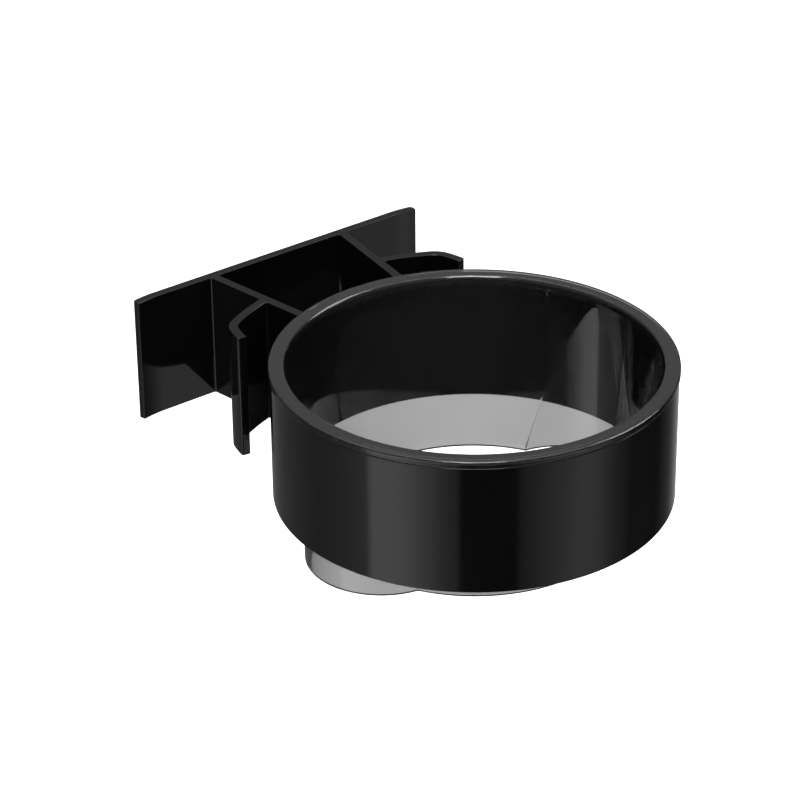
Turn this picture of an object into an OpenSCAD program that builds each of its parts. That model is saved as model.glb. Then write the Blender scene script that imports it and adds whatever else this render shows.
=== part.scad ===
// Wall-mounted hair dryer holder.
// An extruded profile makes the wall plate, two ribs, two hooks for the plug
// and cord, and the ring band. A clear cup liner drops into the band, and an
// adhesive foam pad holds the plate on the wall.
// The origin is the middle of the pad's wall side: +Y points into the wall,
// +Z is up, and the ring band is towards -Y. Millimetres.

/* [Profile] */
// Height of the extruded profile, from its lower to its upper cut
profile_h = 33.5; // [24:0.1:50]
// Thickness of the plate, the ribs and the hooks
wall = 2.4; // [1.8:0.2:3]
// Radius of the fillets where two walls meet
fillet_r = 0.6; // [0.4:0.1:1.6]

/* [Ring band] */
// Outside diameter of the ring band
band_d = 100; // [96:1:104]
// Wall thickness of the ring band
band_wall = 2; // [1.6:0.1:2]

/* [Wall plate] */
// Width of the wall plate, from end to end
plate_w = 90.6; // [86:0.2:96]
// Width of the plate's flat middle
plate_flat_w = 76; // [70:1:80]
// From the ring's axis to the plate's front face
plate_reach = 80.7; // [78:0.1:90]
// Radius of the curve that brings each end of the plate forward
plate_end_r = 30; // [24:1:60]
// Radius on the back corner of each end of the plate
plate_corner_r = 1.2; // [0.6:0.2:1.4]

/* [Ribs] */
// Spacing of the two ribs at the plate, centre to centre
rib_gap_plate = 41.4; // [38:0.2:44]
// Spacing of the two ribs at the band, centre to centre
rib_gap_band = 31.4; // [28:0.2:36]

/* [Hooks] */
// Clear gap between the band and each hook's arm, for the plug's cord
hook_gap = 13.3; // [10:0.1:15]
// Direction from the ring's axis in which each arm ends
hook_arm_end_a = 61; // [57:0.5:64]
// Radius of the bend between the arm and the tip
hook_bend_r = 5.5; // [3:0.5:7]
// Direction of the wall's normal where the bend ends
hook_bend_end_a = 18; // [12:1:24]
// Radius of the tip's slow curve
hook_tip_r = 30; // [20:1:50]
// Direction of the wall's normal at the tip's cut end
hook_tip_end_a = 8; // [5:0.5:11]

/* [Cup liner] */
// Wall thickness of the liner
liner_wall = 1.5; // [1:0.1:1.5]
// Inside radius of the funnel at the flange's underside
funnel_top_r = 45.6; // [45:0.1:45.8]
// Inside radius of the funnel's open bottom
funnel_bottom_r = 36; // [33:0.1:38]
// How far the liner hangs below the band
liner_drop = 9.1; // [4:0.1:14]
// Inside radius of each side lobe
lobe_r = 17.6; // [14:0.1:17.6]
// From the ring's axis to each lobe's axis
lobe_at = 28.8; // [28:0.1:28.8]
// Thickness of the flange that rests on the band
flange_t = 2; // [1.4:0.1:3]
// How far the flange stands out past the band
flange_over = 0.3; // [0:0.1:1]
// Radius on the flange's outer edges
flange_edge_r = 0.5; // [0.2:0.1:0.7]
// Chamfer on the flange's inner lip
flange_lip = 0.5; // [0.3:0.1:0.8]

/* [Adhesive pad] */
// Width of the adhesive pad
pad_w = 76; // [50:1:76]
// Height of the adhesive pad
pad_h = 29; // [20:1:33]
// Thickness of the adhesive pad
pad_t = 1; // [0.5:0.1:2]
// Radius on the pad's corners
pad_corner_r = 3; // [1:0.5:6]

/* [Hidden] */
$fn = 144;

// A solid that is cut away runs this far past the faces it cuts
past = 1;
// A bend's core starts this far inside the wall that it carries on from
lap = 0.6;
// A rounded corner's circle is sunk this far, so that it crosses the faces
sunk = 0.01;

// The ring's axis, as seen from the origin
axis_at = [0, -(pad_t + wall + plate_reach), -profile_h / 2];

band_r = band_d / 2;
band_bore_r = band_r - band_wall;

// The right-hand rib's ends: at the plate's front face and at the band
rib_at_plate = [rib_gap_plate / 2, plate_reach];
rib_at_band = [rib_gap_band / 2, sqrt(pow(band_r, 2) - pow(rib_gap_band / 2, 2))];
rib_dir = unit(rib_at_plate - rib_at_band);
rib_out = [rib_dir.y, -rib_dir.x];

// Mean radius of a hook's arm, and the centres of its two bends
arm_r = band_r + hook_gap + wall / 2;
bend_centre = (arm_r - hook_bend_r) * dir(hook_arm_end_a);
tip_centre = bend_centre + (hook_bend_r - hook_tip_r) * dir(hook_bend_end_a);

// The plate's curved ends turn by this much about end_centre
plate_end_a = asin((plate_w - plate_flat_w) / 2 / (plate_end_r + wall / 2));
end_centre = [plate_flat_w / 2, plate_reach + wall / 2 - plate_end_r];

funnel_slope = (funnel_top_r - funnel_bottom_r) / (profile_h + liner_drop);
liner_top = profile_h + flange_t;

function dir(a) = [cos(a), sin(a)];
function unit(v) = v / norm(v);

// Centre of a circle of radius r that touches the rib's face on the side n
// and has its centre at the distance far from the ring's axis
function beside_rib(n, r, far) =
    let (q = rib_at_band + n * (wall / 2 + r), along = q * rib_dir)
    q + rib_dir * (sqrt(pow(along, 2) - q * q + pow(far, 2)) - along);

// The point at the distance far from the ring's axis on the rib's middle
function on_rib(far) = beside_rib(rib_out, -wall / 2, far);

// The part of a round wall about the point c, of mean radius r and thickness t,
// from the angle a0 down to a1
module sector(c, r, t, a0, a1) {
    reach = 2 * (r + t);
    translate(c) intersection() {
        difference() {
            circle(r = r + t / 2);
            circle(r = r - t / 2);
        }
        polygon([[0, 0], reach * dir(a0), reach * dir((a0 + a1) / 2), reach * dir(a1)]);
    }
}

// A round wall that carries on from another at the angle a0, with a core that
// starts inside the other wall
module arc_wall(c, r, a0, a1) {
    linear_extrude(height = profile_h) sector(c, r, wall, a0, a1);
    linear_extrude(height = profile_h) sector(c, r, wall / 2, a0 + lap / r * 180 / PI, (a0 + a1) / 2);
}

// What fills the corner between deep, inside the walls, and a circle about c
// that touches the walls at t0 and t1. The circle is sunk a hair into the walls
module fillet(deep, c, t0, t1) {
    linear_extrude(height = profile_h) difference() {
        polygon([deep, t0, c, t1]);
        translate(c + sunk * unit(deep - c)) circle(r = fillet_r);
    }
}

// Fillet between the rib's face on the side n and a round wall whose face has
// the radius r; outside is 1 for the wall's outer face and -1 for its inner
module rib_to_round(n, r, outside) {
    c = beside_rib(n, fillet_r, r + outside * fillet_r);
    fillet(on_rib(r - outside * wall / 2), c, r * unit(c), c - n * fillet_r);
}

// Fillet between the rib's face on the side n and the plate's front face
module rib_to_plate(n) {
    face = rib_at_band + n * (wall / 2 + fillet_r);
    c = face + rib_dir * (plate_reach - fillet_r - face.y) / rib_dir.y;
    fillet(rib_at_plate + [0, wall / 4], c, c + [0, fillet_r], c - n * fillet_r);
}

module rib() {
    start = rib_at_band - rib_dir * wall / 2;
    end = rib_at_plate + rib_dir * wall / 2;
    side = rib_out * wall / 2;
    linear_extrude(height = profile_h)
        polygon([start - side, end - side, end + side, start + side]);
    for (n = [rib_out, -rib_out]) {
        rib_to_round(n, band_r, 1);
        rib_to_plate(n);
    }
}

module hook() {
    arc_wall([0, 0], arm_r, atan2(on_rib(arm_r).y, on_rib(arm_r).x), hook_arm_end_a);
    arc_wall(bend_centre, hook_bend_r, hook_arm_end_a, hook_bend_end_a);
    arc_wall(tip_centre, hook_tip_r, hook_bend_end_a, hook_tip_end_a);
    rib_to_round(rib_out, arm_r + wall / 2, 1);
    rib_to_round(rib_out, arm_r - wall / 2, -1);
}

// One curved end of the plate, with its back corner rounded off
module plate_end() {
    r = plate_corner_r;
    back_r = plate_end_r + wall / 2 - r;
    end_a = 90 - plate_end_a;
    corner_a = end_a + asin(r / back_r);
    difference() {
        arc_wall(end_centre, plate_end_r, 90, end_a);
        translate([0, 0, -past]) linear_extrude(height = profile_h + 2 * past)
            translate(end_centre + back_r * dir(corner_a)) difference() {
                polygon(r * [[0, 0], 2 * dir(corner_a), 3 * dir(end_a - 45), 2 * dir(end_a - 90)]);
                circle(r = r + sunk);
            }
    }
}

// The profile's half on the right: half the plate, and one rib and hook
module right_half() {
    rib();
    hook();
    plate_end();
    translate([-past, plate_reach, 0]) cube([plate_flat_w / 2 + past, wall, profile_h]);
}

module holder_profile() {
    color("#1b1b1d") translate(axis_at) difference() {
        union() {
            cylinder(h = profile_h, r = band_r);
            right_half();
            mirror([1, 0, 0]) right_half();
        }
        translate([0, 0, -past]) cylinder(h = profile_h + 2 * past, r = band_bore_r);
    }
}

// Radius of the funnel's inside at the height z
function funnel_r(z) = funnel_bottom_r + funnel_slope * (z + liner_drop);

// The funnel's form, thicker all round by more
module funnel(more, from_z, to_z) {
    translate([0, 0, from_z])
        cylinder(h = to_z - from_z, r1 = funnel_r(from_z) + more, r2 = funnel_r(to_z) + more);
}

// The two side lobes' form, thicker all round by more
module lobes(more, from_z, to_z) {
    for (side = [-1, 1]) translate([side * lobe_at, 0, from_z])
        cylinder(h = to_z - from_z, r = lobe_r + more);
}

// What rounds off an outer corner of the flange's section, at the height z;
// side is 1 for the upper corner and -1 for the lower
module flange_corner(z, side) {
    r = flange_edge_r;
    translate([band_r + flange_over - r, z - side * r]) difference() {
        polygon(2 * r * [[0, 0], [1, 0], [1, side], [0, side]]);
        circle(r = r);
    }
}

module flange() {
    in_r = funnel_top_r - past;
    translate([0, 0, profile_h]) rotate_extrude() difference() {
        translate([in_r, 0]) square([band_r + flange_over - in_r, flange_t]);
        flange_corner(0, -1);
        flange_corner(flange_t, 1);
    }
}

// What chamfers the flange's inner lip
module lip_chamfer() {
    r = funnel_r(liner_top);
    translate([0, 0, liner_top - 2 * flange_lip])
        cylinder(h = 2 * flange_lip + past, r1 = r - flange_lip, r2 = r + flange_lip + past);
}

module cup_liner() {
    color([0.55, 0.56, 0.58, 0.45]) translate(axis_at) difference() {
        union() {
            flange();
            funnel(liner_wall, -liner_drop, liner_top - flange_t / 2);
            lobes(liner_wall, -liner_drop, liner_top - flange_t / 2);
        }
        funnel(0, -liner_drop - past, liner_top + past);
        lobes(0, -liner_drop - past, profile_h);
        lip_chamfer();
    }
}

module adhesive_pad() {
    x = pad_w / 2 - pad_corner_r;
    z = pad_h / 2 - pad_corner_r;
    color("#c9c9c4") rotate([90, 0, 0]) linear_extrude(height = pad_t) {
        square([pad_w, 2 * z], center = true);
        square([2 * x, pad_h], center = true);
        for (i = [-1, 1], j = [-1, 1]) translate([i * x, j * z]) circle(r = pad_corner_r);
    }
}

holder_profile();
cup_liner();
adhesive_pad();
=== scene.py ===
import math

import bmesh
import bpy
from mathutils import Matrix, Vector
from mathutils.geometry import delaunay_2d_cdt


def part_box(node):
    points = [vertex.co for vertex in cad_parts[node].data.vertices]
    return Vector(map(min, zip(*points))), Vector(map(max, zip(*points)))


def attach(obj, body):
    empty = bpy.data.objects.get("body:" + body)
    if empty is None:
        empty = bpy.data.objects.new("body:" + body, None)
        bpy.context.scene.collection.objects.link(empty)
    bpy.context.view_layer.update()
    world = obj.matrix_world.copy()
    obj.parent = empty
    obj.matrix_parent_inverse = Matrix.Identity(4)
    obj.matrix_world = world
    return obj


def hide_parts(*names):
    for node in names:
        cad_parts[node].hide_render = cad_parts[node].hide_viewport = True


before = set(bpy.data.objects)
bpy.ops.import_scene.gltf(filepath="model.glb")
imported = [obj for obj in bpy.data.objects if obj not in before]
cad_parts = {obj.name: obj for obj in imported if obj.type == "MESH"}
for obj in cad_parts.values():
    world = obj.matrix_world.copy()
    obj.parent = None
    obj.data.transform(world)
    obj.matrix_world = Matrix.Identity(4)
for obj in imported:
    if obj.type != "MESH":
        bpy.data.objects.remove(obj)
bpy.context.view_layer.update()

# ---------------------------------------------------------------------------
# Sizes in millimetres, angles in degrees. The ring's axis is x = 0, y = 0 and
# the profile's lower cut is z = 0; at() turns that into metres in the frame.
# ---------------------------------------------------------------------------
holder_lo, holder_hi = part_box("holder_profile")
liner_lo, liner_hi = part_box("cup_liner")
pad_lo, pad_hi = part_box("adhesive_pad")

BAND_R = round((holder_hi.x - holder_lo.x) * 500, 3)
PROFILE_H = round((holder_hi.z - holder_lo.z) * 1000, 3)
AXIS_Y = holder_lo.y * 1000 + BAND_R
CUT_Z = holder_lo.z * 1000
PLATE_BACK = holder_hi.y * 1000 - AXIS_Y

WALL = 2.4
BAND_WALL = 2.0
FILLET = 0.6
# rolled edge of the coating round both cuts of the profile
EDGE = 0.16
PLATE_W = 90.6
PLATE_FLAT_W = 76.0
PLATE_FRONT = PLATE_BACK - WALL
PLATE_END_R = 30.0
END_FRONT_R, END_BACK_R = 0.25, 1.2
RIB_PLATE, RIB_BAND = 41.4 / 2, 31.4 / 2
# a hook: an arm round the band, a tight bend and a slow tip
HOOK_GAP = 13.3
ARM_END, BEND_END, TIP_END = 61.0, 18.0, 8.0
BEND_R, TIP_R = 5.5, 30.0
TIP_INNER_R, TIP_OUTER_R = 0.3, 0.6

# the cup's flange stays a hair inside its box
FLANGE_R = round((liner_hi.x - liner_lo.x) * 500, 3) - 0.01
FLANGE_TOP = liner_hi.z * 1000 - CUT_Z
CUP_BOTTOM = liner_lo.z * 1000 - CUT_Z
CUP_WALL = 1.5
FUNNEL_TOP, FUNNEL_BOTTOM = 45.6, 36.0
LOBE_R, LOBE_AT = 17.6, 28.8
LOBE_TOP = PROFILE_H - 1.0
# rounds: lobe into funnel inside and outside, open rim, under the flange, flange's edge, lip
TURN_INNER_R, TURN_OUTER_R = 0.3, 0.6
RIM_R, NECK_R, FLANGE_EDGE_R = 0.45, 0.35, 0.5
LIP_WIDE, LIP_TALL = 0.6, 1.6
# the lobes' tops run back to the funnel just above the flange's underside
ROOF_TOP = PROFILE_H + 0.1
# rings across the flange's flat top
FLAT_RINGS = (47.4, 48.7)

PAD_CORNER_R = 3.0
# the pad's faces start this far inside its outline
PAD_FACE = 6.0

# steps over a small rolled edge, and over a larger quarter round
ROLL = (90, 67.5, 45, 22.5, 0)
QUARTER = (0, 18, 36, 54, 72, 90)
# longest steps on outlines: turn and chord of an arc, length of a line, turn of a corner
ARC_TURN, ARC_CHORD, LINE_STEP, CORNER_TURN = 7.5, 0.9, 4, 15


def at(x, y, z):
    return Vector((x, y + AXIS_Y, z + CUT_Z)) / 1000


# ---------------------------------------------------------------------------
# Outlines: lists of (point, outward normal) that run with the metal on the left
# ---------------------------------------------------------------------------
def cos_sin(a):
    return math.cos(math.radians(a)), math.sin(math.radians(a))


def unit_at(a):
    return Vector(cos_sin(a))


def angle_of(v):
    return math.degrees(math.atan2(v.y, v.x))


def arc(c, r, a0, a1, side):
    """Points on a circle; side is 1 where the metal is inside it and -1 where it is outside."""
    turn = abs(a1 - a0)
    n = max(3, math.ceil(turn / ARC_TURN), math.ceil(math.radians(turn) * r / ARC_CHORD))
    steps = [a0 + (a1 - a0) * i / n for i in range(n + 1)]
    return [(Vector(c) + r * unit_at(a), side * unit_at(a)) for a in steps]


def line(p, q, n):
    """Points on a straight run, all with the normal n."""
    k = max(1, math.ceil((q - p).length / LINE_STEP))
    return [(p.lerp(q, i / k), n) for i in range(k + 1)]


def corner(before, after, r):
    """Joins two runs whose ends meet at a sharp outer corner, with a small round of radius r."""
    (p, n0), n1 = before[-1], after[0][1]
    c = p - r * (n0 + n1) / (1 + n0.dot(n1))
    # points that the round takes away, or that fall on its ends, are dropped
    gone = 1.02 * (c + r * n0 - p).length
    kept0 = [s for s in before if (s[0] - p).length > gone]
    kept1 = [s for s in after if (s[0] - p).length > gone]
    a0, a1 = angle_of(n0), angle_of(n1)
    if a1 < a0:
        a1 += 360
    n = max(4, math.ceil((a1 - a0) / CORNER_TURN))
    steps = [a0 + (a1 - a0) * i / n for i in range(n + 1)]
    return kept0 + [(c + r * unit_at(a), unit_at(a)) for a in steps] + kept1


def joined(*runs):
    """One run from several, without the points that fall together."""
    out = []
    for run in runs:
        for p, n in run:
            if not out or (p - out[-1][0]).length > 1e-4:
                out.append((p, n))
    return out


def flip_x(v):
    return Vector((-v.x, v.y))


def mirrored(run):
    """The same run on the left-hand side, in the order that carries on from the right-hand one."""
    return [(flip_x(p), flip_x(n)) for p, n in reversed(run)]


def closed(half):
    """A whole loop from its right-hand half, which starts and ends on the mirror line."""
    loop = joined(half, mirrored(half))
    return loop[:-1] if (loop[0][0] - loop[-1][0]).length < 1e-3 else loop


rib_plate = Vector((RIB_PLATE, PLATE_FRONT))
rib_band = Vector((RIB_BAND, math.sqrt(BAND_R**2 - RIB_BAND**2)))
rib_dir = (rib_plate - rib_band).normalized()
rib_out = Vector((rib_dir.y, -rib_dir.x))


def beside_rib(n, r, far):
    """Centre of a circle of radius r that touches the rib's face on the side n, far from the ring's axis."""
    q = rib_band + n * (WALL / 2 + r)
    along = q.dot(rib_dir)
    return q + rib_dir * (math.sqrt(along**2 - q.length_squared + far**2) - along)


def plate_fillet(n):
    """Centre of the fillet between the plate's front and the rib's face on the side n."""
    q = rib_band + n * (WALL / 2 + FILLET)
    return q + rib_dir * ((PLATE_FRONT - FILLET - q.y) / rib_dir.y)


def concave(c, n0, n1):
    """A fillet about c that turns from the surface normal n0 to n1."""
    a0, a1 = angle_of(-n0), angle_of(-n1)
    while a1 - a0 > 180:
        a1 -= 360
    while a0 - a1 > 180:
        a1 += 360
    return arc(c, FILLET, a0, a1, -1)


UP, DOWN = Vector((0, 1)), Vector((0, -1))
arm_r = BAND_R + HOOK_GAP + WALL / 2
arm_in, arm_out = arm_r - WALL / 2, arm_r + WALL / 2
bend_c = (arm_r - BEND_R) * unit_at(ARM_END)
tip_c = bend_c + (BEND_R - TIP_R) * unit_at(BEND_END)
end_turn = math.degrees(math.asin((PLATE_W - PLATE_FLAT_W) / 2 / (PLATE_END_R + WALL / 2)))
end_c = Vector((PLATE_FLAT_W / 2, PLATE_FRONT + WALL / 2 - PLATE_END_R))

c_band = beside_rib(rib_out, FILLET, BAND_R + FILLET)
c_arm_in = beside_rib(rib_out, FILLET, arm_in - FILLET)
c_arm_out = beside_rib(rib_out, FILLET, arm_out + FILLET)
c_plate = plate_fillet(rib_out)


def hook_run():
    """From the rib round the hook's inner side, its cut end and its outer side, back to the rib."""
    inner = joined(
        concave(c_arm_in, rib_out, -c_arm_in.normalized()),
        arc((0, 0), arm_in, angle_of(c_arm_in), ARM_END, -1),
        arc(bend_c, BEND_R - WALL / 2, ARM_END, BEND_END, -1),
        arc(tip_c, TIP_R - WALL / 2, BEND_END, TIP_END, -1),
    )
    cut = line(
        tip_c + (TIP_R - WALL / 2) * unit_at(TIP_END),
        tip_c + (TIP_R + WALL / 2) * unit_at(TIP_END),
        unit_at(TIP_END - 90),
    )
    outer = joined(
        arc(tip_c, TIP_R + WALL / 2, TIP_END, BEND_END, 1),
        arc(bend_c, BEND_R + WALL / 2, BEND_END, ARM_END, 1),
        arc((0, 0), arm_out, ARM_END, angle_of(c_arm_out), 1),
        concave(c_arm_out, c_arm_out.normalized(), rib_out),
    )
    return corner(corner(inner, cut, TIP_INNER_R), outer, TIP_OUTER_R)


def plate_end_run():
    """From the plate's flat front round its curved end to its flat back."""
    front = arc(end_c, PLATE_END_R - WALL / 2, 90, 90 - end_turn, -1)
    back = arc(end_c, PLATE_END_R + WALL / 2, 90 - end_turn, 90, 1)
    end = line(front[-1][0], end_c + (PLATE_END_R + WALL / 2) * unit_at(90 - end_turn), unit_at(-end_turn))
    return corner(corner(front, end, END_FRONT_R), back, END_BACK_R)


outer_half = joined(
    arc((0, 0), BAND_R, -90, angle_of(c_band), 1),
    concave(c_band, c_band.normalized(), rib_out),
    hook_run(),
    concave(c_plate, rib_out, DOWN),
    line(c_plate + Vector((0, FILLET)), Vector((PLATE_FLAT_W / 2, PLATE_FRONT)), DOWN),
    plate_end_run(),
    line(Vector((PLATE_FLAT_W / 2, PLATE_BACK)), Vector((0, PLATE_BACK)), UP),
)
d_band, d_plate = beside_rib(-rib_out, FILLET, BAND_R + FILLET), plate_fillet(-rib_out)
window_half = joined(
    line(Vector((0, PLATE_FRONT)), d_plate + Vector((0, FILLET)), DOWN),
    concave(d_plate, DOWN, -rib_out),
    line(d_plate + rib_out * FILLET, d_band + rib_out * FILLET, -rib_out),
    concave(d_band, -rib_out, d_band.normalized()),
    arc((0, 0), BAND_R, angle_of(d_band), 90, 1),
)
bore = arc((0, 0), BAND_R - BAND_WALL, 90, -90, -1)
# the outline, the window between the ribs, and the band's bore
loops = [closed(outer_half), closed(window_half), joined(bore, mirrored(bore))[:-1]]


# ---------------------------------------------------------------------------
# Meshes
# ---------------------------------------------------------------------------
def new_object(name, verts, faces, normals=None, slots=()):
    mesh = bpy.data.meshes.new(name)
    mesh.from_pydata(verts, [], faces)
    mesh.validate()
    mesh.shade_smooth()
    if normals is not None:
        mesh.normals_split_custom_set_from_vertices(normals)
    obj = bpy.data.objects.new(name, mesh)
    bpy.context.scene.collection.objects.link(obj)
    for m in slots:
        mesh.materials.append(m)
    return obj


def levels():
    """(inset, height, tilt of the normal) up the profile's wall, with a rolled edge at both cuts."""
    rolled = []
    for t in ROLL:
        c, d = cos_sin(t)
        rolled.append((EDGE * (1 - c), EDGE * (1 - d), t))
    low = [(inset, z, -t) for inset, z, t in rolled]
    middle = [(0, EDGE + (PROFILE_H - 2 * EDGE) * i / 6, 0) for i in range(1, 6)]
    return low + middle + [(inset, PROFILE_H - z, t) for inset, z, t in reversed(rolled)]


def inside(p, loop):
    """Whether a point lies inside a loop, by how often a ray to its right crosses it."""
    hit = False
    for (a, _), (b, _) in zip(loop, loop[1:] + loop[:1]):
        if (a.y > p.y) != (b.y > p.y) and p.x < a.x + (b.x - a.x) * (p.y - a.y) / (b.y - a.y):
            hit = not hit
    return hit


def build_profile(materials):
    """The extruded profile: a wall up each loop, and both cuts filled between the loops."""
    verts, normals, faces = [], [], []
    flat, edges = [], []
    ups = levels()
    top = len(ups) - 1
    caps = {0: [], top: []}
    for loop in loops:
        n = len(loop)
        start = len(verts)
        for k, (inset, z, tilt) in enumerate(ups):
            c, d = cos_sin(tilt)
            for p, m in loop:
                q = p - m * inset
                verts.append(at(q.x, q.y, z))
                normals.append(Vector((m.x * c, m.y * c, d)))
            if k in caps:
                caps[k] += range(start + k * n, start + (k + 1) * n)
            if k:
                a, b = start + (k - 1) * n, start + k * n
                faces += [(a + i, a + (i + 1) % n, b + (i + 1) % n, b + i) for i in range(n)]
        first = len(flat)
        flat += [p - m * EDGE for p, m in loop]
        edges += [(first + i, first + (i + 1) % n) for i in range(n)]
    tris = delaunay_2d_cdt(flat, edges, [], 0, 1e-6)[2]
    rings = [[(p - m * EDGE, m) for p, m in loop] for loop in loops]
    for t in tris:
        c = (flat[t[0]] + flat[t[1]] + flat[t[2]]) / 3
        if inside(c, rings[0]) and not inside(c, rings[1]) and not inside(c, rings[2]):
            a, b, d = (flat[i] for i in t)
            t = t if (b - a).cross(d - a) > 0 else tuple(reversed(t))
            faces.append(tuple(caps[top][i] for i in t))
            faces.append(tuple(caps[0][i] for i in reversed(t)))
    obj = new_object("holder_body", verts, faces, normals, materials)
    for p in obj.data.polygons:
        p.material_index = 1 if abs(p.normal.z) > 0.8 else 0
    return obj


# --- the liner: rings of equal length, joined one after another ---------------
N_LOBE, N_TURN, N_CONE, N_UP = 24, 8, 38, 34


def funnel_r(z):
    return FUNNEL_BOTTOM + (FUNNEL_TOP - FUNNEL_BOTTOM) * (z - CUP_BOTTOM) / (PROFILE_H - CUP_BOTTOM)


SLOPE = (FUNNEL_TOP - FUNNEL_BOTTOM) / (PROFILE_H - CUP_BOTTOM)


def section(cone_r, lobe_r, turn_r):
    """A quarter of the cup's outline, from the lobe's tip to the +Y side: (point, outward normal, share of cone)."""
    a, b = cone_r + turn_r, lobe_r + turn_r
    x = (a * a + LOBE_AT**2 - b * b) / (2 * LOBE_AT)
    q = Vector((x, math.sqrt(max(0, a * a - x * x))))
    lobe = Vector((LOBE_AT, 0))
    on_lobe = angle_of(q - lobe)
    on_cone = angle_of(q)
    out = []
    for i in range(N_LOBE):
        t = on_lobe * i / N_LOBE
        out.append((lobe + lobe_r * unit_at(t), unit_at(t), 0.0))
    for i in range(N_TURN + 1):
        s = i / N_TURN
        t = on_lobe + (on_cone - on_lobe) * s
        out.append((q - turn_r * unit_at(t), unit_at(t), s))
    for i in range(1, N_CONE + 1):
        t = on_cone + (90 - on_cone) * i / N_CONE
        out.append((cone_r * unit_at(t), unit_at(t), 1.0))
    return out


def whole(quarter):
    """The full outline from its quarter, point for point."""
    half = quarter + [(Vector((-p.x, p.y)), Vector((-n.x, n.y)), s) for p, n, s in reversed(quarter[:-1])]
    return half + [(Vector((p.x, -p.y)), Vector((n.x, -n.y)), s) for p, n, s in reversed(half[1:-1])]


def circle(r, z, m_r, m_z, angles):
    """A plain ring whose points stand at the given angles; m_r and m_z are its normal's outward and upward parts."""
    turns = [(math.cos(a), math.sin(a)) for a in angles]
    return [(r * c, r * d, z, Vector((m_r * c, m_r * d, m_z)).normalized()) for c, d in turns]


def cup_ring(z, side, shift=0.0, tilt=None):
    """side is -1 for the inner face and 1 for the outer; shift moves the ring out along its normals."""
    grow = 0 if side < 0 else CUP_WALL
    turn_r = TURN_INNER_R if side < 0 else TURN_OUTER_R
    ring = []
    for p, n, s in whole(section(funnel_r(z) + grow, LOBE_R + grow, turn_r)):
        q = p + n * shift
        if tilt is None:
            m = Vector((side * n.x, side * n.y, -side * SLOPE * s))
        else:
            c, d = cos_sin(tilt)
            m = Vector((side * n.x * c, side * n.y * c, -d))
        ring.append((q.x, q.y, z, m.normalized()))
    return ring


def flange_edge(z, side, t, angles):
    """A ring on the flange's rounded edge, next to its face at z; side is 1 for the top and -1 for the underside."""
    c, d = cos_sin(t)
    return circle(FLANGE_R - FLANGE_EDGE_R * (1 - c), z - side * FLANGE_EDGE_R * (1 - d), c, side * d, angles)


def rim_ring(side, t):
    """A ring on the rounded edge of the open bottom; t is 0 on the wall and 90 on the flat rim."""
    c, d = cos_sin(t)
    ring = cup_ring(CUP_BOTTOM, side, -side * RIM_R * (1 - c), t)
    return [(x, y, CUP_BOTTOM + RIM_R * (1 - d), m) for x, y, z, m in ring]


def roof_ring(last, angles, t):
    """A ring on the quarter round by which the lobes' tops run back to the funnel; t goes up to 90."""
    c, d = cos_sin(t)
    z = LOBE_TOP + (ROOF_TOP - LOBE_TOP) * d
    ring = []
    for (x, y, _, m), a in zip(last, angles):
        near = funnel_r(z)
        over = max(0.0, math.hypot(x, y) + SLOPE * (z - LOBE_TOP) - near)
        r = near + over * c
        down = min(1.0, over) * d
        n = Vector((m.x, m.y, 0)).normalized() * (1 - down)
        ring.append((r * math.cos(a), r * math.sin(a), z, Vector((n.x, n.y, SLOPE - down)).normalized()))
    return ring


def build_liner(material):
    """The cup, as one closed tube of rings: up its inner face, over the flange and down its outer face."""
    # inner face, from the open bottom's rim to the lip
    rings = [rim_ring(-1, t) for t in ROLL]
    low = CUP_BOTTOM + RIM_R
    rings += [cup_ring(low + (LOBE_TOP - low) * i / N_UP, -1) for i in range(1, N_UP + 1)]
    last = rings[-1]
    angles = [math.atan2(y, x) for x, y, _, _ in last]
    rings += [roof_ring(last, angles, t) for t in QUARTER[1:]]
    # the lip rolls over from the funnel to the flange, taller than it is wide
    start = funnel_r(FLANGE_TOP - LIP_TALL)
    rings.append(circle(start, FLANGE_TOP - LIP_TALL, -1, SLOPE, angles))
    for t in (10, 20, 30, 40, 50, 60, 68, 76, 83, 90):
        c, d = cos_sin(t)
        r = start + SLOPE * LIP_TALL * d + LIP_WIDE * (1 - c)
        rings.append(circle(r, FLANGE_TOP - LIP_TALL * (1 - d), -c / LIP_WIDE, d / LIP_TALL + SLOPE * c, angles))
    # flange top, outer edge and underside
    rings += [circle(r, FLANGE_TOP, 0, 1, angles) for r in FLAT_RINGS]
    rings += [flange_edge(FLANGE_TOP, 1, t, angles) for t in reversed(QUARTER)]
    rings += [flange_edge(PROFILE_H, -1, t, angles) for t in QUARTER]
    # outer face, from the corner under the flange to the open bottom's rim
    high = PROFILE_H - NECK_R
    neck = whole(section(funnel_r(high) + CUP_WALL, LOBE_R + CUP_WALL, TURN_OUTER_R))
    for t in (90, 60, 30, 0):
        c, d = cos_sin(t)
        ring = [(p + n * NECK_R * (1 - c), Vector((n.x * c, n.y * c, -d))) for p, n, _ in neck]
        rings.append([(q.x, q.y, PROFILE_H - NECK_R * (1 - d), m) for q, m in ring])
    rings += [cup_ring(high + (low - high) * i / N_UP, 1) for i in range(1, N_UP)]
    rings += [rim_ring(1, t) for t in reversed(ROLL)]

    n = len(rings[0])
    verts = [at(x, y, z) for ring in rings for x, y, z, _ in ring]
    normals = [m for ring in rings for _, _, _, m in ring]
    faces = []
    for k in range(len(rings)):
        a, b = k * n, ((k + 1) % len(rings)) * n
        faces += [(a + i, b + i, b + (i + 1) % n, a + (i + 1) % n) for i in range(n)]
    return new_object("clear_cup", verts, faces, normals, [material])


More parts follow.
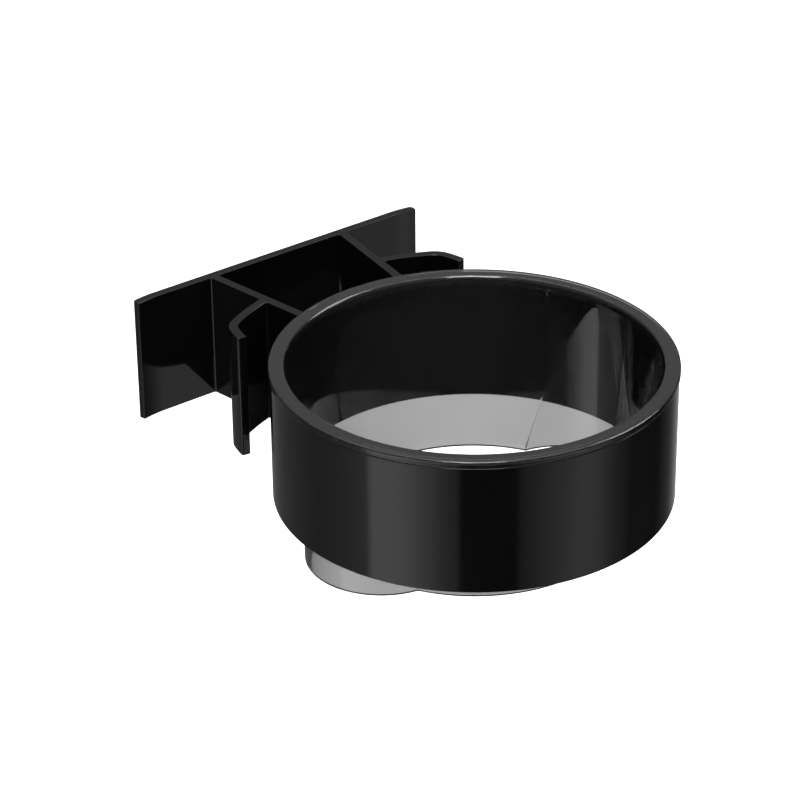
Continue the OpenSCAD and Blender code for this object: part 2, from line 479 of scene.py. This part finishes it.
def build_pad(material):
    """The foam pad: rounded corners, softly rolled edges, and sides that the foam's cut leaves slightly hollow."""
    w, h, t = (pad_hi.x - pad_lo.x) * 500, (pad_hi.z - pad_lo.z) * 500, (pad_hi.y - pad_lo.y) * 1000
    r = PAD_CORNER_R
    outline = []
    for cx, cz, a0 in ((1, 1, 0), (-1, 1, 90), (-1, -1, 180), (1, -1, 270)):
        for i in range(13):
            d = unit_at(a0 + 90 * i / 12)
            outline.append((Vector((cx * (w - r), cz * (h - r))) + r * d, d))
    # (inset, share of the thickness) from the wall side to the plate side, with a ring well inside each face
    half = [(PAD_FACE, 0.0), (0.12, 0.0), (0.035, 0.035), (0.0, 0.12), (0.05, 0.3)]
    rows = half + [(0.07, 0.5)] + [(inset, 1 - s) for inset, s in reversed(half)]
    verts, faces = [], []
    n = len(outline)
    for inset, s in rows:
        for p, d in outline:
            q = p - d * inset if inset < PAD_FACE else Vector((p.x * (1 - PAD_FACE / w), p.y * (1 - PAD_FACE / h)))
            verts.append(Vector((q.x / 1000, pad_hi.y - s * t / 1000, q.y / 1000)))
    for k in range(1, len(rows)):
        a, b = (k - 1) * n, k * n
        faces += [(a + i, a + (i + 1) % n, b + (i + 1) % n, b + i) for i in range(n)]
    faces.append(tuple(reversed(range(n))))
    faces.append(tuple(range((len(rows) - 1) * n, len(rows) * n)))
    obj = new_object("foam_pad", verts, faces, None, [material])
    bm = bmesh.new()
    bm.from_mesh(obj.data)
    bmesh.ops.recalc_face_normals(bm, faces=bm.faces)
    bm.to_mesh(obj.data)
    bm.free()
    obj.data.shade_smooth()
    return obj


# ---------------------------------------------------------------------------
# Materials
# ---------------------------------------------------------------------------
def material(name):
    """A new material with a plain Principled shader."""
    m = bpy.data.materials.new(name)
    m.use_nodes = True
    tree = m.node_tree
    tree.nodes.clear()
    out = tree.nodes.new("ShaderNodeOutputMaterial")
    bsdf = tree.nodes.new("ShaderNodeBsdfPrincipled")
    tree.links.new(bsdf.outputs[0], out.inputs[0])
    return m, tree, bsdf


def node(tree, kind, values=None, links=None, **props):
    n = tree.nodes.new(kind)
    for k, v in props.items():
        setattr(n, k, v)
    for k, v in (values or {}).items():
        n.inputs[k].default_value = v
    for k, v in (links or {}).items():
        tree.links.new(v, n.inputs[k])
    return n


def ramp(tree, fac, stops):
    """A colour ramp's output, from (position, grey or colour) stops."""
    n = tree.nodes.new("ShaderNodeValToRGB")
    tree.links.new(fac, n.inputs[0])
    e = n.color_ramp.elements
    while len(e) < len(stops):
        e.new(0.5)
    for el, (pos, v) in zip(e, stops):
        el.position = pos
        el.color = (*v, 1) if isinstance(v, tuple) else (v, v, v, 1)
    return n.outputs[0]


def texture(tree, kind, stretch=(1, 1, 1), **values):
    """A texture in the piece's own space; a stretch below 1 draws it out along that axis."""
    tc = tree.nodes.new("ShaderNodeTexCoord")
    mapping = node(tree, "ShaderNodeMapping", {"Scale": stretch}, {"Vector": tc.outputs["Object"]})
    return node(tree, kind, values, {"Vector": mapping.outputs[0]})


def noise(tree, scale, detail, stretch=(1, 1, 1), **values):
    return texture(tree, "ShaderNodeTexNoise", stretch, Scale=scale, Detail=detail, **values).outputs[0]


def bump(tree, height, strength, depth, below=None):
    """A bump in metres, laid over the one below it."""
    links = {"Height": height} if below is None else {"Height": height, "Normal": below}
    return node(tree, "ShaderNodeBump", {"Strength": strength, "Distance": depth}, links).outputs[0]


def gloss_black():
    m, tree, bsdf = material("gloss_black_coating")
    fine = noise(tree, scale=900.0, detail=3.0, Roughness=0.55)
    wide = noise(tree, scale=90.0, detail=2.0, stretch=(1, 1, 0.25))
    drawn = noise(tree, scale=700.0, detail=2.0, stretch=(1, 1, 0.02))
    colour = ramp(tree, wide, [(0.3, (0.0008, 0.0008, 0.0009)), (0.75, (0.0016, 0.0016, 0.0018))])
    tree.links.new(colour, bsdf.inputs["Base Color"])
    tree.links.new(ramp(tree, wide, [(0.3, 0.05), (0.7, 0.08)]), bsdf.inputs["Roughness"])
    bsdf.inputs["IOR"].default_value = 1.5
    relief = bump(tree, fine, strength=0.12, depth=0.00002)
    relief = bump(tree, drawn, strength=0.25, depth=0.00002, below=relief)
    tree.links.new(relief, bsdf.inputs["Normal"])
    return m


def satin_cut():
    m, tree, bsdf = material("satin_black_cut")
    fine = noise(tree, scale=1400.0, detail=4.0, Roughness=0.6)
    saw = noise(tree, scale=420.0, detail=3.0, stretch=(0.06, 1, 1))
    colour = ramp(tree, fine, [(0.3, (0.003, 0.003, 0.0032)), (0.7, (0.006, 0.006, 0.0063))])
    tree.links.new(colour, bsdf.inputs["Base Color"])
    tree.links.new(ramp(tree, saw, [(0.3, 0.34), (0.7, 0.44)]), bsdf.inputs["Roughness"])
    bsdf.inputs["IOR"].default_value = 1.22
    relief = bump(tree, fine, strength=0.25, depth=0.00003)
    relief = bump(tree, saw, strength=0.3, depth=0.00003, below=relief)
    tree.links.new(relief, bsdf.inputs["Normal"])
    return m


def clear_plastic():
    m, tree, bsdf = material("clear_smoky_plastic")
    wide = noise(tree, scale=60.0, detail=2.0)
    fine = noise(tree, scale=500.0, detail=3.0)
    colour = ramp(tree, wide, [(0.3, (0.86, 0.865, 0.87)), (0.7, (0.90, 0.905, 0.91))])
    tree.links.new(colour, bsdf.inputs["Base Color"])
    tree.links.new(ramp(tree, fine, [(0.3, 0.015), (0.7, 0.04)]), bsdf.inputs["Roughness"])
    bsdf.inputs["IOR"].default_value = 1.53
    bsdf.inputs["Transmission Weight"].default_value = 0.998
    # the smoky tint is in the plastic itself, so a long way through it goes nearly black
    smoke = node(tree, "ShaderNodeVolumeAbsorption", {"Color": (0, 0, 0, 1), "Density": 920.0})
    tree.links.new(smoke.outputs[0], tree.nodes["Material Output"].inputs["Volume"])
    tree.links.new(bump(tree, wide, strength=0.10, depth=0.00003), bsdf.inputs["Normal"])
    return m


def foam():
    m, tree, bsdf = material("grey_foam")
    cells = texture(tree, "ShaderNodeTexVoronoi", Scale=2600.0).outputs["Distance"]
    cloud = noise(tree, scale=120.0, detail=4.0)
    colour = ramp(tree, cloud, [(0.3, (0.29, 0.29, 0.30)), (0.7, (0.36, 0.36, 0.37))])
    tree.links.new(colour, bsdf.inputs["Base Color"])
    tree.links.new(ramp(tree, cells, [(0.0, 0.62), (0.6, 0.8)]), bsdf.inputs["Roughness"])
    tree.links.new(bump(tree, cells, strength=0.5, depth=0.00008), bsdf.inputs["Normal"])
    return m


body = build_profile([gloss_black(), satin_cut()])
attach(body, "holder")
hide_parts("holder_profile")

cup = build_liner(clear_plastic())
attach(cup, "liner")
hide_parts("cup_liner")

pad = build_pad(foam())
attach(pad, "holder")
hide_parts("adhesive_pad")

# ---------------------------------------------------------------------------
# Stage: a pale floor below the hanging part, soft lights, and the camera
# ---------------------------------------------------------------------------
PART_MIDDLE = Vector((0, -0.06, 0))
FLOOR_Z = -0.40
# brightness of what gloss sees: the band at the horizon, the room there and its rise to the
# zenith, the soft box overhead and the key soft box
HORIZON, ROOM, ROOM_RISE, OVERHEAD, KEY_BOX = 0.1, 0.28, 0.5, 1.3, 1.5
# the camera's direction from the part and its roll in degrees, its distance in metres
CAMERA_AZ, CAMERA_EL, CAMERA_ROLL = -37.621, 28.622, -0.604
CAMERA_FAR = 0.785
CAMERA_TARGET = at(-4.10, 24.39, 15.37)
CAMERA_LENS = 140.6

scene = bpy.context.scene
scene.view_settings.view_transform = "Standard"


def card(name, centre, size, strength):
    """A soft light: a rectangle that faces the part and isn't seen itself."""
    light = bpy.data.lights.new(name, "AREA")
    light.shape = "RECTANGLE"
    light.size, light.size_y = size
    light.energy = strength
    o = bpy.data.objects.new(name, light)
    scene.collection.objects.link(o)
    o.location = centre
    o.rotation_mode = "QUATERNION"
    o.rotation_quaternion = (PART_MIDDLE - Vector(centre)).to_track_quat("-Z", "Y")
    o.visible_camera = False


floor_mesh = bpy.data.meshes.new("pale_floor")
bm = bmesh.new()
bmesh.ops.create_grid(bm, x_segments=8, y_segments=8, size=6.0)
bm.to_mesh(floor_mesh)
bm.free()
floor = bpy.data.objects.new("pale_floor", floor_mesh)
scene.collection.objects.link(floor)
floor.location = (0, 0, FLOOR_Z)
# gloss sees the world's soft boxes instead of the floor
floor.visible_glossy = False
m, tree, bsdf = material("pale_paper")
grain = noise(tree, scale=40.0, detail=3.0)
tree.links.new(ramp(tree, grain, [(0.3, 0.88), (0.7, 0.90)]), bsdf.inputs["Base Color"])
bsdf.inputs["Roughness"].default_value = 0.9
bsdf.inputs["Specular IOR Level"].default_value = 0.0
bsdf.inputs["Emission Color"].default_value = (1, 1, 1, 1)
bsdf.inputs["Emission Strength"].default_value = 0.25
floor_mesh.materials.append(m)

world = bpy.data.worlds.new("studio")
scene.world = world
world.use_nodes = True
wt = world.node_tree
wt.nodes.clear()
wo = wt.nodes.new("ShaderNodeOutputWorld")
bg = wt.nodes.new("ShaderNodeBackground")
tc = wt.nodes.new("ShaderNodeTexCoord")
sep = wt.nodes.new("ShaderNodeSeparateXYZ")
wt.links.new(tc.outputs["Generated"], sep.inputs[0])
height = sep.outputs[2]


def math_node(kind, *values):
    n = wt.nodes.new("ShaderNodeMath")
    n.operation = kind
    for i, v in enumerate(values):
        if isinstance(v, (int, float)):
            n.inputs[i].default_value = v
        else:
            wt.links.new(v, n.inputs[i])
    return n.outputs[0]


def smooth(value, low, high):
    """0 below low and 1 above high, with a soft step between."""
    span = {"From Min": low, "From Max": high}
    n = node(wt, "ShaderNodeMapRange", span, {"Value": value}, interpolation_type="SMOOTHSTEP")
    return n.outputs["Result"]


def blend(a, b, share):
    left = math_node("MULTIPLY", a, math_node("SUBTRACT", 1.0, share))
    return math_node("ADD", left, math_node("MULTIPLY", b, share))


# what the gloss sees below the horizon: two tall soft boxes and a dim surround,
# as (direction round the part in degrees, brightness)
turn = math_node("ARCTAN2", sep.outputs[1], sep.outputs[0])
around = math_node("MULTIPLY_ADD", turn, 0.5 / math.pi, 0.5)
boxes = [
    (-180, 1.25), (-168, 1.15), (-158, 0.8), (-147, 0.45), (-138, 0.24), (-136, 0.03),
    (-106, 0.03), (-102, 0.17), (-78, 0.46), (-67, 0.6), (-57, 0.5), (-44, 0.2),
    (-30, 0.05), (-5, 0.015), (15, 0.1), (35, 0.36), (50, 0.3), (62, 0.16),
    (95, 0.135), (135, 0.15), (152, 0.24), (168, 0.42), (172, 1.2), (180, 1.25),
]
low = ramp(wt, around, [((a + 180) / 360, v) for a, v in boxes])
lower = blend(low, HORIZON, smooth(height, -0.24, -0.14))
# the pale room above, with a broad soft box overhead
room = math_node("MULTIPLY_ADD", height, ROOM_RISE, ROOM)
room = math_node("MULTIPLY_ADD", smooth(height, 0.55, 0.98), OVERHEAD, room)
# and a key soft box high on the side the camera looks from
side = math_node("SUBTRACT", smooth(turn, -2.75, -2.6), smooth(turn, -1.85, -1.7))
high = math_node("SUBTRACT", smooth(height, 0.5, 0.6), smooth(height, 0.86, 0.93))
room = math_node("MULTIPLY_ADD", math_node("MULTIPLY", side, high), KEY_BOX, room)
wt.links.new(blend(lower, room, smooth(height, 0.06, 0.26)), bg.inputs[0])
bg.inputs[1].default_value = 1.0
wt.links.new(bg.outputs[0], wo.inputs[0])

card("key", centre=(-0.9, -1.2, 1.5), size=(1.0, 1.0), strength=34.0)
card("fill", centre=(1.3, -0.7, 1.1), size=(0.9, 1.2), strength=22.0)

cam_data = bpy.data.cameras.new("camera")
cam_data.sensor_width = 36.0
cam_data.lens = CAMERA_LENS
cam = bpy.data.objects.new("camera", cam_data)
scene.collection.objects.link(cam)
cos_az, sin_az = cos_sin(CAMERA_AZ)
cos_el, sin_el = cos_sin(CAMERA_EL)
cos_roll, sin_roll = cos_sin(CAMERA_ROLL)
back = Vector((sin_az * cos_el, -cos_az * cos_el, sin_el))
level = Vector((cos_az, sin_az, 0))
plumb = back.cross(level)
right = cos_roll * level + sin_roll * plumb
up = -sin_roll * level + cos_roll * plumb
place = Matrix((right, up, back)).transposed().to_4x4()
place.translation = CAMERA_TARGET + back * CAMERA_FAR
cam.matrix_world = place
cam_data.clip_start, cam_data.clip_end = 0.01, 50
scene.camera = cam
